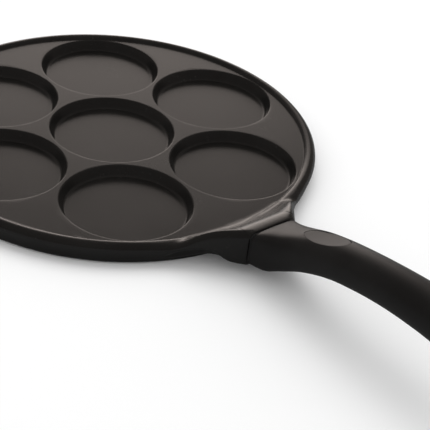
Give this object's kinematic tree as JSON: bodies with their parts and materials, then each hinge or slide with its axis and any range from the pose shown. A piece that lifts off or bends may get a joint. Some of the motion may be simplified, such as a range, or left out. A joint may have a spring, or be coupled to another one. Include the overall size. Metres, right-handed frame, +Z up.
{
  "type": "aebleskiver pan",
  "caption": "Round cast stovetop pan with shallow flat round wells for small pancakes, a rolled rim, a flared neck and a curved moulded handle with a thumb rest.",
  "frame": {"origin": "centre of the pan's round base, on the plane it rests on", "axes": "+Z up, out of the wells; +X along the handle, away from the pan; the part is symmetric about the XZ plane"},
  "size_m": [0.4478, 0.26, 0.0603],
  "materials": {
    "coated_casting": "cast aluminium under a satin black non-stick coating; turned bare metal underneath",
    "handle_moulding": "dark moulded phenolic, fine matt grain",
    "thumb_inlay": "soft-touch inlay, matt",
    "gasket_rubber": "heat-resistant rubber, matt",
    "steel_fixings": "stainless steel, as turned"
  },
  "bodies": {
    "root": {"pan_body": "coated_casting", "handle": "handle_moulding", "thumb_rest": "thumb_inlay", "neck_gasket": "gasket_rubber", "tang_insert": "steel_fixings", "handle_screw": "steel_fixings", "spring_washer": "steel_fixings", "flat_washer": "steel_fixings"}
  },
  "joints": []
}
